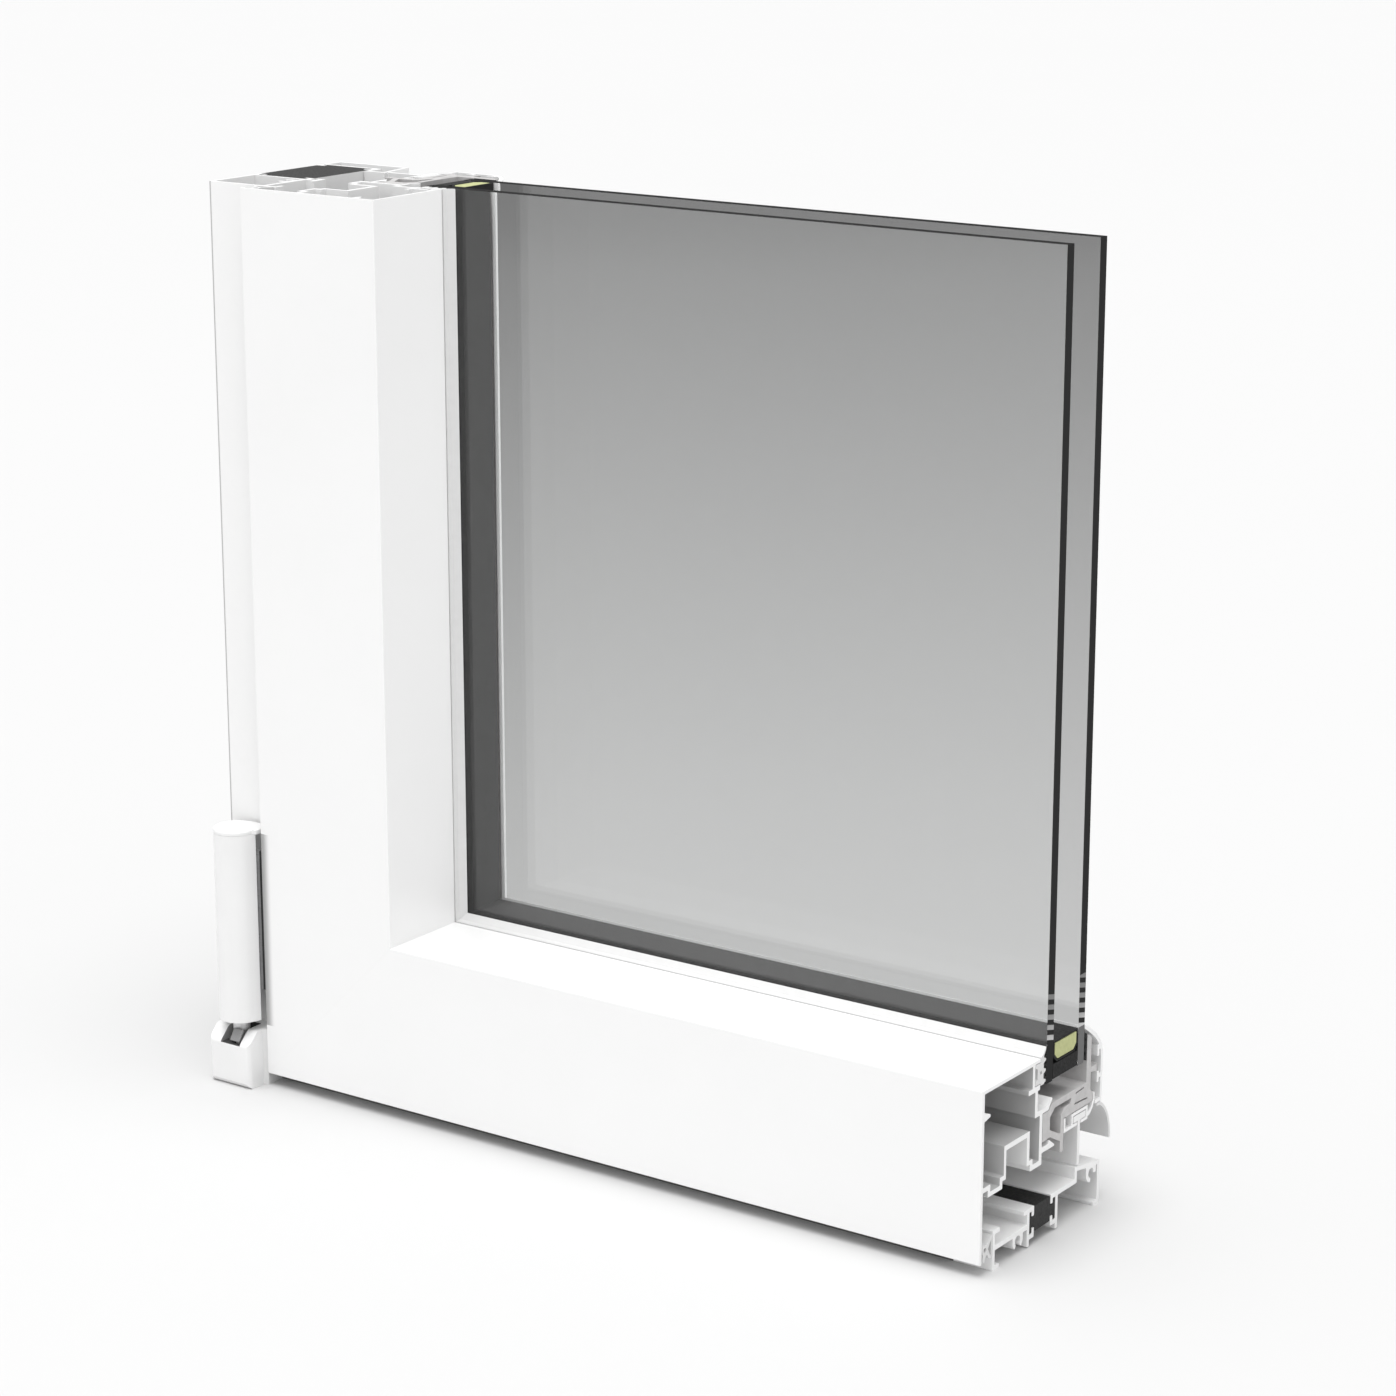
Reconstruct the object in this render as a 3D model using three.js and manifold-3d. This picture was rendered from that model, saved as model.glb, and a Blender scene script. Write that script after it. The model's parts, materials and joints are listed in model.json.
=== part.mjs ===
// Corner sample of an inward-opening, thermally broken aluminium casement window:
// hinge-side jamb and sill, cut square at the top and at the right, with the sash
// hung on a tilt-and-turn corner hinge. Millimetres, +Z up, +X along the sill away
// from the hinge, +Y from the room side to the weather side.
//
// Sections are drawn as [y, w] points. y is the depth from the sash's room face.
// w is the distance in from the outer edge of the sash: it is Z on the sill side
// and X on the jamb side, so one outline makes both the rail and the stile.

import * as THREE from 'three';
import { mergeVertices } from 'three/addons/utils/BufferGeometryUtils.js';
import Module from 'manifold-3d';

const wasm = await Module();
wasm.setup();

// ---- driving dimensions -------------------------------------------------------
const RAIL_LENGTH = 290.9;     // outer edge of the sash to the cut at the right
const STILE_HEIGHT = 311;      // lower edge of the sash to the cut at the top
const SASH_WIDTH = 57.3;       // visible width of the sash frame
const SKIN = 1.2;              // wall of the sash's room face
const LEG_FACE = 7.8;          // room face of the fixed frame
const FRAME_FACE = 75.2;       // weather face of the fixed frame
const JAMB_OUT = 20.6;         // how far the jamb shows outside the sash
const JAMB_WALL = 1.4;         // wall of the jamb's outer side
const SILL_OUT = 4.5;          // how far the sill hangs below the sash
const PANE_INNER = [38.6, 42.7];   // depth of the room pane's two faces
const PANE_OUTER = [58.6, 62.6];   // depth of the weather pane's two faces
const PANE_EDGE = 47.6;        // how far in the glass starts
const SPACER_TOP = 60.6;       // sight line of the spacer bar
const GAP = 0.3;               // clearance between pieces that touch
const DRIP_FACE = 81.7;        // tip of the rain drip, the furthest point outside
const PORT = { inner: 1.7, outer: 3.15 };   // radii of the round screw ports

// hinge
const AXIS_X = -10.3;          // turn axis, from the outer edge of the sash
const AXIS_Y = -1.5;
const BALL_Z = 3;              // height of the tilt axis
const BALL_R = 3.2;
const PIN_R = 3;
const BARREL = { r: 5.5, from: 29, to: 82 };
const COVER = { r: 7.7, wall: 1.2, from: 19.5, to: 87.8 };
const CAP_R = 7.8;             // the cap is the part nearest the room
const CAP_CORNER = { right: -0.9, back: 5.8 };
const BLOCK = { left: -20.2, right: -1.6, front: -8, back: 7.5, top: 16, round: 2 };
const SOCKET_R = 4.3;
const SLOT = { halfWidth: 4.4, floor: 10.9, back: 3.8 };
const LEAF = { front: 1.55, thick: 2.45, armX: [17.5, 20.5], armEnd: 27.3 };
const LEAF_SCREW = { y: 21.4, z: [42, 69], r: 1.9 };
const BLOCK_SCREW = { x: -16.9, z: [2.5, 10.5], r: 1.2, headR: 2 };

// ---- materials ----------------------------------------------------------------
function finish(color, roughness, metalness) {
  return new THREE.MeshStandardMaterial({ color, roughness, metalness });
}

const WHITE = finish(0xf4f4f3, 0.38, 0.05);
const WHITE_PLASTIC = finish(0xf2f2f1, 0.45, 0);
const POLYAMIDE = finish(0xc8c6c5, 0.6, 0);
const BREAK = finish(0x4a4a4a, 0.8, 0);
const BLACK_RUBBER = finish(0x1c1c1c, 0.75, 0);
const WHITE_RUBBER = finish(0xf0f0ef, 0.65, 0);
const DESICCANT = finish(0xb2b486, 0.9, 0);
const GLASS = new THREE.MeshStandardMaterial({
  color: 0xbfc4c2, roughness: 0.04, metalness: 0, transparent: true, opacity: 0.35,
});
const STEEL = finish(0x9b9b9b, 0.35, 0.9);
const DARK_PLASTIC = finish(0x55565a, 0.55, 0);
const ALUMINIUM = finish(0xb9bcbf, 0.4, 0.85);

// ---- shape helpers ------------------------------------------------------------
const whole = new THREE.Group();
whole.position.set(
  -(RAIL_LENGTH - JAMB_OUT) / 2,
  -(AXIS_Y - CAP_R + DRIP_FACE) / 2,
  SILL_OUT,
);

function assembly(name) {
  const group = new THREE.Group();
  group.name = name;
  whole.add(group);
  return group;
}

const frame = assembly('fixed_frame');
const pivot = assembly('pivot');
const sash = assembly('opening_sash');

function add(group, name, geometry, material) {
  const mesh = new THREE.Mesh(geometry, material);
  mesh.name = name;
  group.add(mesh);
  return mesh;
}

function outline(points, holes = []) {
  const shape = new THREE.Shape(points.map(([a, b]) => new THREE.Vector2(a, b)));
  for (const hole of holes) {
    shape.holes.push(new THREE.Path(hole.map(([a, b]) => new THREE.Vector2(a, b))));
  }
  return shape;
}

// An extrusion of unit depth whose vertices are then put in place by put(a, b, t).
function swept(shape, put, mirrored = false) {
  const geometry = new THREE.ExtrudeGeometry(shape, { depth: 1, bevelEnabled: false });
  const position = geometry.attributes.position;
  for (let i = 0; i < position.count; i++) {
    const [x, y, z] = put(position.getX(i), position.getY(i), position.getZ(i));
    position.setXYZ(i, x, y, z);
  }
  geometry.deleteAttribute('uv');
  geometry.deleteAttribute('normal');
  const merged = mergeVertices(geometry, 1e-4);
  if (mirrored) {
    merged.index.array.reverse();
  }
  merged.computeVertexNormals();
  return merged;
}

// Horizontal bar with its left end mitred at the corner, from w to the right-hand cut.
function bar(shape, end = RAIL_LENGTH) {
  return swept(shape, (y, w, t) => [t > 0.5 ? end : w + GAP / 2, y, w]);
}

// Upright bar with its lower end mitred at the corner, up to the cut at the top.
function upright(shape, end = STILE_HEIGHT) {
  return swept(shape, (y, w, t) => [w, y, t > 0.5 ? end : w + GAP / 2], true);
}

// The same section on both sides of the corner.
function pair(group, name, shape, material) {
  add(group, `${name}_rail`, bar(shape), material);
  add(group, `${name}_stile`, upright(shape), material);
}

// Straight extrusions: along Z of an [x, y] outline, along X of [y, z], along Y of [x, z].
function alongZ(shape, from, to) {
  return swept(shape, (x, y, t) => [x, y, from + t * (to - from)]);
}

function alongX(shape, from, to) {
  return swept(shape, (y, z, t) => [from + t * (to - from), y, z]);
}

function alongY(shape, from, to) {
  return swept(shape, (x, z, t) => [x, from + t * (to - from), z], true);
}

function rectangle(a0, b0, a1, b1) {
  return [[a0, b0], [a1, b0], [a1, b1], [a0, b1]];
}

function arc(cx, cy, r, fromDegrees, toDegrees, steps) {
  return Array.from({ length: steps + 1 }, (_, i) => {
    const angle = THREE.MathUtils.degToRad(fromDegrees + (toDegrees - fromDegrees) * i / steps);
    return [cx + r * Math.cos(angle), cy + r * Math.sin(angle)];
  });
}

// Solid of revolution about the hinge axis, from [r, z] points that start and end at r = 0.
function turned(points, segments = 32) {
  const lathe = new THREE.LatheGeometry(points.map(([r, z]) => new THREE.Vector2(r, z)), segments);
  lathe.rotateX(Math.PI / 2);
  lathe.deleteAttribute('uv');
  lathe.deleteAttribute('normal');
  return lathe;
}

// ---- booleans -----------------------------------------------------------------
function solid(geometry) {
  const bare = geometry.clone();
  bare.deleteAttribute('uv');
  bare.deleteAttribute('normal');
  const merged = mergeVertices(bare, 1e-4);
  return new wasm.Manifold(new wasm.Mesh({
    numProp: 3,
    vertProperties: new Float32Array(merged.attributes.position.array),
    triVerts: new Uint32Array(merged.index.array),
  }));
}

function geometryOf(manifold) {
  const mesh = manifold.getMesh();
  const geometry = new THREE.BufferGeometry();
  geometry.setAttribute('position', new THREE.BufferAttribute(mesh.vertProperties, 3));
  geometry.setIndex(new THREE.BufferAttribute(mesh.triVerts, 1));
  geometry.computeVertexNormals();
  return geometry;
}

function less(geometry, ...cutters) {
  return geometryOf(cutters.reduce((body, cutter) => body.subtract(solid(cutter)), solid(geometry)));
}

function joined(geometry, ...others) {
  return geometryOf(others.reduce((body, other) => body.add(solid(other)), solid(geometry)));
}

function common(geometry, other) {
  return geometryOf(solid(geometry).intersect(solid(other)));
}

function rod(r, length, segments = 20) {
  return new THREE.CylinderGeometry(r, r, length, segments);
}

// A rod along X or Y with its first end at the given point.
function rodX(r, from, to, y, z, segments) {
  return rod(r, to - from, segments).rotateZ(Math.PI / 2).translate((from + to) / 2, y, z);
}

function rodY(r, from, to, x, z, segments) {
  return rod(r, to - from, segments).translate(x, 0, 0).translate(0, (from + to) / 2, z);
}

// ---- fixed frame --------------------------------------------------------------
// Downward-open round port that a corner screw cuts its thread in, below the web at height w.
function screwPort(w) {
  const y = 23.3;
  const middle = w - PORT.inner;
  const mouth = 52;
  return [
    [y - PORT.outer, w],
    ...arc(y, middle, PORT.outer, 180, 180 + mouth, 4),
    ...arc(y, middle, PORT.inner, 180 + mouth, -mouth, 10),
    ...arc(y, middle, PORT.outer, -mouth, 0, 4),
    [y + PORT.outer, w],
  ];
}

const LEG_HOOK = [[9.2, 7.5], [12, 7.5], [12, 9], [LEG_FACE, 9]];

function sillInnerSection() {
  return outline([
    [LEG_FACE, -SILL_OUT], [12, -SILL_OUT], [12, -3.1], [9.2, -3.1], [9.2, 2.1],
    ...screwPort(2.1),
    [29, 2.1], [29, -4], [30.4, -4], [30.4, -1.8], [33.3, -1.8], [33.3, 1.5], [32, 1.5],
    [32, -0.3], [30.4, -0.3], [30.4, 7.3], [31.8, 7.3], [31.8, 5.5], [33.2, 5.5],
    [33.2, 8.8], [26.8, 8.8], [26.8, 7.3], [29, 7.3], [29, 3.7], [9.2, 3.7],
    ...LEG_HOOK,
  ]);
}

function jambInnerSection() {
  const wall = -JAMB_OUT + JAMB_WALL;
  return outline([
    [LEG_FACE, -JAMB_OUT], [33.2, -JAMB_OUT], [33.2, wall + 2.1], [31.9, wall + 2.1],
    [31.9, wall], [30.4, wall], [30.4, 2.5], [31.9, 2.5], [31.9, 0.4], [33.2, 0.4], [33.2, 3.9],
    [30.4, 3.9], [30.4, 7.3], [31.8, 7.3], [31.8, 5.5], [33.2, 5.5], [33.2, 8.8],
    [26.8, 8.8], [26.8, 7.3], [29, 7.3], [29, 3.7], [9.2, 3.7],
    ...LEG_HOOK,
  ], [[[9.2, wall], [9.2, 2.1], ...screwPort(2.1), [29, 2.1], [29, wall]]]);
}

function sillBreakSection() {
  return outline([
    [30.7, 0], [31.7, 0], [31.7, 1.8], [33.6, 1.8], [33.6, 0], [43.3, 0], [43.3, 1.8],
    [45.3, 1.8], [45.3, 0], [46.4, 0], [46.4, 7], [45.3, 7], [45.3, 5.4], [43.3, 5.4],
    [43.3, 8.5], [33.5, 8.5], [33.5, 5.2], [31.5, 5.2], [31.5, 7], [30.7, 7],
  ]);
}

function jambBreakSection() {
  const outer = -JAMB_OUT + GAP;
  const tongue = outer + 1.4;
  const neck = tongue + 2.1;
  return outline([
    [33.5, outer], [62.2, outer], [62.2, neck], [64.1, neck], [64.1, tongue], [65, tongue],
    [65, 2.2], [64.1, 2.2], [64.1, 0.1], [62.2, 0.1], [62.2, 3.6], [33.5, 3.6],
    [33.5, 0.1], [31.6, 0.1], [31.6, 2.2], [30.7, 2.2], [30.7, tongue], [31.6, tongue],
    [31.6, neck], [33.5, neck],
  ]);
}

function sillOuterSection() {
  const [y, w] = [69.6, 7.6];
  const port = [
    [73.8, 9.2], [72.8, 9.3], [72.8, 7],
    ...arc(y, w, PORT.inner, -15, 262, 10),
    ...arc(y, w, PORT.outer, 262, 165, 6),
    [66.4, 10.3],
  ];
  return outline([
    [43.6, 8.9], [58.8, 8.9], [58.8, 13], [60.3, 12.8], [FRAME_FACE, 10.3],
    [FRAME_FACE, -SILL_OUT], [71.5, -SILL_OUT], [71.5, -3.2], [73.8, -3.2],
    ...port,
    [60.3, 11.35], [60.3, 7.3], [48.2, 7.3], [48.2, -3.8],
    [46.7, -3.8], [46.7, -1.8], [43.6, -1.8], [43.6, 1.5], [45, 1.5], [45, -0.3],
    [46.7, -0.3], [46.7, 7.3], [45, 7.3], [45, 5.7], [43.6, 5.7],
  ]);
}

function jambOuterSection() {
  const wall = -JAMB_OUT + JAMB_WALL;
  return outline([
    [62.5, -JAMB_OUT], [62.5, wall + 2.1], [63.8, wall + 2.1], [63.8, wall], [65.3, wall],
    [65.3, 2.5], [63.8, 2.5], [63.8, 0.4], [62.5, 0.4], [62.5, 3.9], [58.8, 3.9],
    [58.8, 13], [60.3, 12.8], [FRAME_FACE, 10.3], [FRAME_FACE, -JAMB_OUT],
  ], [[
    [66.7, wall], [73.8, wall], [73.8, 9.1], [60.3, 11.35], [60.3, 5.3], [66.7, 5.3],
  ]]);
}

// Soft seal on the frame's leg: a round bulb behind the sash's edge, on two splayed
// legs with a hollow between them, and a toe below it.
function interiorGasketSection() {
  const [y, w] = [3.2, 4.2];
  const bulb = arc(y, w, 1.7, 50, 245, 12);
  const hollow = [
    [5.5, 4.8], [6.9, 6.5], [6.9, 1.5], [6.5, 1.3], [5.6, 2.9], [5.2, 3.9],
  ];
  return outline([
    [7.5, 0.4], [7.5, 8], [6.6, 7.7], [5.4, 6.4],
    ...bulb,
    [1.9, 1.5], [2, 0.4], [3.3, 0.3], [3.6, 1.5], [4.3, 2.2], [4.9, 1.9], [5.4, 0.9], [6.1, 0.5],
  ], [arc(y, w, 0.8, 0, 324, 9), hollow]);
}

// The jamb stands on the sill's base line outside the mitre and is mitred inside it.
function jambUpright(shape) {
  const straight = swept(
    shape,
    (y, w, t) => [w, y, t > 0.5 ? STILE_HEIGHT : -SILL_OUT],
    true,
  );
  const reach = 40;
  const wedge = outline([
    [-SILL_OUT, -SILL_OUT - reach], [reach, -SILL_OUT - reach], [reach, reach + GAP / 2],
    [-SILL_OUT, -SILL_OUT + GAP / 2],
  ]);
  return less(straight, alongY(wedge, 0, FRAME_FACE + 5));
}

const blockScrewHoles = BLOCK_SCREW.z.map(
  (z) => rodY(BLOCK_SCREW.r + GAP, -3.5, 9.5, BLOCK_SCREW.x, z, 16),
);

function buildFrame() {
  add(frame, 'frame_inner_sill', bar(sillInnerSection()), WHITE);
  add(frame, 'frame_inner_jamb', less(jambUpright(jambInnerSection()), ...blockScrewHoles), WHITE);
  add(frame, 'thermal_break_sill', bar(sillBreakSection()), BREAK);
  add(frame, 'thermal_break_jamb', jambUpright(jambBreakSection()), BREAK);
  add(frame, 'frame_outer_sill', bar(sillOuterSection()), WHITE);
  add(frame, 'frame_outer_jamb', jambUpright(jambOuterSection()), WHITE);

  // The seal stops on either side of the hinge leaf.
  const gasket = interiorGasketSection();
  const above = COVER.to + 3;
  const below = BARREL.from - 1;
  add(frame, 'interior_gasket_sill', bar(gasket), WHITE_RUBBER);
  add(frame, 'interior_gasket_jamb_lower', upright(gasket, below), WHITE_RUBBER);
  const long = swept(gasket, (y, w, t) => [w, y, t > 0.5 ? STILE_HEIGHT : above], true);
  add(frame, 'interior_gasket_jamb', long, WHITE_RUBBER);

  // Angle key that ties the two inner halves together inside the corner.
  const low = -1.9;
  const high = 1.8;
  const reach = 42;
  const key = outline([
    [low, low], [reach, low], [reach, high], [high, high], [high, reach], [low, reach],
  ]);
  add(frame, 'frame_corner_key', alongY(key, 10, 19), ALUMINIUM);
}

// ---- sash ---------------------------------------------------------------------
function sashSection() {
  return outline([
    [0, 0], [SKIN, 0], [SKIN, 23.7], [4.2, 23.7], [4.2, 21.3], [12.9, 21.3], [12.9, 23.8],
    [15, 23.8], [15, 33.4], [27.8, 33.4], [27.8, 23.7], [29.9, 23.7], [29.9, 21.3],
    [37, 21.3], [37, 25.1], [45, 25.1], [45, 25.6], [41.4, 28.2], [41, 26.8], [37, 26.8],
    [37, 38.4], [40.6, 38.4], [43.2, 41.6], [42.4, 42.2], [40, 39.9], [33.8, 39.9],
    [33.8, 47], [35, 47], [35, 48.7], [31.8, 48.7], [31.8, 56.2], [35, 56.2],
    [35, SASH_WIDTH], [0, SASH_WIDTH],
  ], [[
    [SKIN, 25.3], [5.6, 25.3], [5.6, 22.8], [11.3, 22.8], [11.3, 25.4], [13.7, 25.4],
    [13.7, 35.1], [29.3, 35.1], [29.3, 25.1], [31.4, 25.1], [31.4, 23.1], [35.3, 23.1],
    [35.3, 38.3], [32.2, 38.3], [32.2, 47], [28, 47], [28, 48.6], [30.4, 48.6],
    [30.4, 56.1], [SKIN, 56.1], [SKIN, 50], [4.8, 48.6], [4.8, 47.7], [SKIN, 47],
  ]]);
}

// Glazing seal with a sealing lip at the sight line and three barbs behind it.
function innerGlazingGasketSection() {
  const face = PANE_INNER[0] - GAP;
  const barbs = [56.6, 53.1, 49.6].flatMap(
    (w) => [[37, w + 0.2], [face, w], [face, w - 0.7], [37, w - 1.4]],
  );
  return outline([
    [35.3, 57.6], [36.6, 58.1], [face, 60.4], [face, 59.4], [37.2, 57.8],
    ...barbs,
    [35.3, 48.2], [35.3, 49], [32.1, 49], [32.1, 50.2], [33.4, 50.8], [33.4, 54.2],
    [32.1, 54.8], [32.1, 55.9], [35.3, 55.9],
  ], [rectangle(34.9, 52, 35.9, 53)]);
}

// Polyamide carrier that the glass sits in, hooked over the sash's two prongs.
function carrierSection() {
  const cell = [
    [41.9, 31.3], [47.5, 28.3], [48.8, 28], [48.8, 34], [50.5, 36], [54.6, 36.2],
    [55.4, 37.9], [44.8, 37.9], [41.9, 35.6],
  ];
  const upperSlit = [[58, 38.2], [63.5, 38.6], [63.5, 39.1], [58, 38.8]];
  const lowerSlit = [[57.3, 34.8], [65.8, 34.3], [65.8, 34.9], [57.6, 35.4]];
  return outline([
    [37.3, 28.6], [42, 28.9], [48.7, 25.3], [48.7, 21.5], [50.6, 21.5], [50.6, 32.5],
    [67.6, 32.5], [69.1, 32.8], [69.3, 35.2], [67.6, 36.8], [67.6, 42.8], [70.4, 42.3],
    [71.4, 42.2], [71.4, 44.8], [70.6, 44.4], [67.6, 44.4], [67.6, 54.6], [66, 56],
    [64.8, 56], [64.8, 40.1], [42.9, 40.1], [41.1, 38.1], [37.3, 38.1],
  ], [cell, upperSlit, lowerSlit]);
}

// Thin outer shell that covers the glass edge, with its two clip rails.
function coverSection() {
  const face = FRAME_FACE;
  const inside = face - 1.1;
  return outline([
    [62.9, 60.4], [66, 58.1], [70, 55.2], [72.7, 52.7], [74.5, 49.8], [face, 46.8],
    [face, 30.9], [70.9, 30.9], [70.9, 32.1], [inside, 32.1], [inside, 39.3], [72.9, 39.3],
    [72.9, 38], [71.8, 38], [71.8, 41.6], [72.9, 41.6], [72.9, 40.5], [inside, 40.5],
    [inside, 46.8], [73.7, 48.8], [72.9, 48.8], [72.9, 47.2], [71.8, 47.2], [71.8, 50.6],
    [71.2, 52.2], [69.2, 54.1], [65.5, 56.9], [62.9, 58.8],
  ]);
}

// Curved rain drip under the cover: a blade of even thickness on a quarter-turn curve.
function dripSection() {
  const blade = 1;
  const tip = DRIP_FACE - blade / 2;
  const curve = new THREE.CubicBezierCurve(
    new THREE.Vector2(74.7, 29.9), new THREE.Vector2(78.6, 27.4),
    new THREE.Vector2(tip, 22.8), new THREE.Vector2(tip, 16),
  );
  const steps = 7;
  const side = (sign) => Array.from({ length: steps + 1 }, (_, i) => {
    const at = curve.getPoint(i / steps);
    const along = curve.getTangent(i / steps);
    return [at.x + sign * along.y * blade / 2, at.y - sign * along.x * blade / 2];
  });
  return outline([[72.2, 30.6], [74.6, 30.6], ...side(-1), ...side(1).reverse(), [72.2, 29.8]]);
}

// Aluminium bar under the carrier, with the channel that holds the seal fin.
function weatherBarSection() {
  return outline([
    [50.9, 32.1], [51.9, 32.1], [51.9, 28.3], [55.8, 28.3], [55.8, 32.1], [66.2, 32.1],
    [66.2, 29.6], [67.4, 29.8], [68.8, 31.1], [69.7, 33], [69.7, 35.2], [70.5, 35.2],
    [70.5, 32.6], [69.4, 30.2], [67.8, 28.6], [66.2, 28.1], [66.2, 27.3], [61.8, 27.3],
    [61.8, 28.3], [65.2, 28.3], [65.2, 31.1], [56.8, 31.1], [56.8, 28.3], [59.5, 28.3],
    [59.5, 27.3], [50.9, 27.3],
  ]);
}

function sealFinSection() {
  return outline([
    [57.2, 28.6], [59.9, 28.6], [59.9, 13.4], [61.4, 13.4], [61.4, 28.6], [64.8, 28.6],
    [64.8, 30.7], [57.2, 30.7],
  ]);
}

function outerGlazingGasketSection() {
  const face = PANE_OUTER[1] + GAP;
  const barbs = [49.4, 51.8, 54.2].flatMap(
    (w) => [[63.5, w - 1.2], [face, w - 0.4], [face, w], [63.5, w + 0.5]],
  );
  return outline([[64.5, 47.6], ...barbs, [face, 56.8], [64.5, 56.8]]);
}

// Glass, spacer and edge seal share one L-shaped lay-out round the corner.
function spacerShellSection() {
  const [left, right] = [PANE_INNER[1] + GAP, PANE_OUTER[0] - GAP];
  const wall = 0.6;
  const cut = 2.2;
  const foot = 53.3;
  const ring = (inset) => [
    [left + inset, SPACER_TOP - inset], [left + inset, foot + cut + inset / 2],
    [left + cut + inset / 2, foot + inset], [right - cut - inset / 2, foot + inset],
    [right - inset, foot + cut + inset / 2], [right - inset, SPACER_TOP - inset],
  ];
  return { shell: outline(ring(0), [ring(wall)]), fill: outline(ring(wall + GAP)) };
}

function buildGlass() {
  const pane = ([front, back]) => alongY(
    outline(rectangle(PANE_EDGE, PANE_EDGE, RAIL_LENGTH, STILE_HEIGHT)), front, back,
  );
  add(sash, 'glass_inner_pane', pane(PANE_INNER), GLASS);
  add(sash, 'glass_outer_pane', pane(PANE_OUTER), GLASS);

  const { shell, fill } = spacerShellSection();
  pair(sash, 'spacer', shell, BLACK_RUBBER);
  pair(sash, 'desiccant', fill, DESICCANT);
  const seal = outline(
    rectangle(PANE_INNER[1] + GAP, PANE_EDGE + 0.4, PANE_OUTER[0] - GAP, 53),
  );
  pair(sash, 'edge_sealant', seal, BLACK_RUBBER);

  // Setting blocks carry the glass on the rail and centre it at the stile.
  const block = outline(rectangle(PANE_INNER[0] + 5, 40.4, PANE_OUTER[1] - 0.5, PANE_EDGE - GAP));
  const length = 60;
  const first = 62;
  add(sash, 'setting_block_rail', alongX(block, first, first + length), DARK_PLASTIC);
  const standing = swept(block, (y, w, t) => [w, y, first + t * length], true);
  add(sash, 'setting_block_stile', standing, DARK_PLASTIC);
}

// Corner cleat inside the sash chamber: an angle block with a relief step in each arm.
function cornerCleat() {
  const low = 35.6;
  const high = 46.4;
  const reach = 96;
  const relief = 1.2;
  const shape = outline([
    [low, low], [70, low], [70, low + relief], [80, low + relief], [80, low], [reach, low],
    [reach, high], [high, high], [high, reach], [low, reach], [low, 80],
    [low + relief, 80], [low + relief, 70], [low, 70],
  ]);
  return alongY(shape, 5.4, 27);
}

function buildSash() {
  const screwHoles = LEAF_SCREW.z.map(
    (z) => rodX(LEAF_SCREW.r + GAP, 32, 37, LEAF_SCREW.y, z, 16),
  );
  add(sash, 'sash_rail', bar(sashSection()), WHITE);
  add(sash, 'sash_stile', less(upright(sashSection()), ...screwHoles), WHITE);
  pair(sash, 'inner_glazing_gasket', innerGlazingGasketSection(), WHITE_RUBBER);
  pair(sash, 'glass_carrier', carrierSection(), POLYAMIDE);
  pair(sash, 'outer_cover', coverSection(), WHITE);
  add(sash, 'rain_drip', bar(dripSection()), WHITE);
  pair(sash, 'weather_bar', weatherBarSection(), WHITE);
  pair(sash, 'seal_fin', sealFinSection(), WHITE_PLASTIC);
  pair(sash, 'outer_glazing_gasket', outerGlazingGasketSection(), BLACK_RUBBER);
  buildGlass();
  add(sash, 'sash_corner_cleat', cornerCleat(), ALUMINIUM);
}

// ---- hinge --------------------------------------------------------------------
// Lower block on the frame: rounded in plan, bevelled at the top front, slotted for the pin.
function hingeBlock() {
  const { left, right, front, back, top, round } = BLOCK;
  const plan = outline([
    [left, back], ...arc(left + round, front + round, round, 180, 270, 6),
    ...arc(right - round, front + round, round, 270, 360, 6), [right, back],
  ]);
  const bevel = 4.8;
  const toe = 2.2;
  const profile = outline([
    [back, -SILL_OUT], [front + toe, -SILL_OUT], [front, -SILL_OUT + toe],
    [front, top - bevel], [front + bevel, top], [back, top],
  ]);
  const body = common(alongZ(plan, -SILL_OUT, top), alongX(profile, left - 1, right + 1));
  const slot = alongZ(
    outline(rectangle(AXIS_X - SLOT.halfWidth, front - 1, AXIS_X + SLOT.halfWidth, SLOT.back)),
    SLOT.floor, top + 1,
  );
  const well = rod(SOCKET_R + GAP, SLOT.floor + 2.4, 28).rotateX(Math.PI / 2);
  well.translate(AXIS_X, AXIS_Y, (SLOT.floor + 0.6 - 1.8) / 2);
  return less(body, slot, well, ...blockScrewHoles);
}

// Plastic cup in the block that the ball turns in, open at the top so that the pin drops in.
function hingeSocket() {
  const seat = arc(0, BALL_Z, BALL_R + GAP, -90, 0, 6);
  const rim = 9.8;
  const foot = -1.4;
  return turned([
    [0, foot], [SOCKET_R, foot], [SOCKET_R, rim], [BALL_R + GAP, rim], ...seat.reverse(),
  ], 28).translate(AXIS_X, AXIS_Y, 0);
}

// Ball-ended pin that the sash turns on and that leans into the room when the sash tilts.
function hingePin() {
  const ball = arc(0, BALL_Z, BALL_R, -90, 48, 10);
  const neck = 2.2;
  const collar = 4.6;
  const tip = 80;
  return turned([
    ...ball, [neck, 6], [neck, 14.2], [PIN_R, 15], [PIN_R, 18.6], [collar, 19.2], [collar, 23.6],
    [PIN_R, 23.6], [PIN_R, tip - 1], [PIN_R - 1, tip], [0, tip],
  ], 28).translate(AXIS_X, AXIS_Y, 0);
}

function ring(outer, inner, from, to) {
  return turned([[inner, from], [outer, from], [outer, to], [inner, to], [inner, from]], 32)
    .translate(AXIS_X, AXIS_Y, 0);
}

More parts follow.
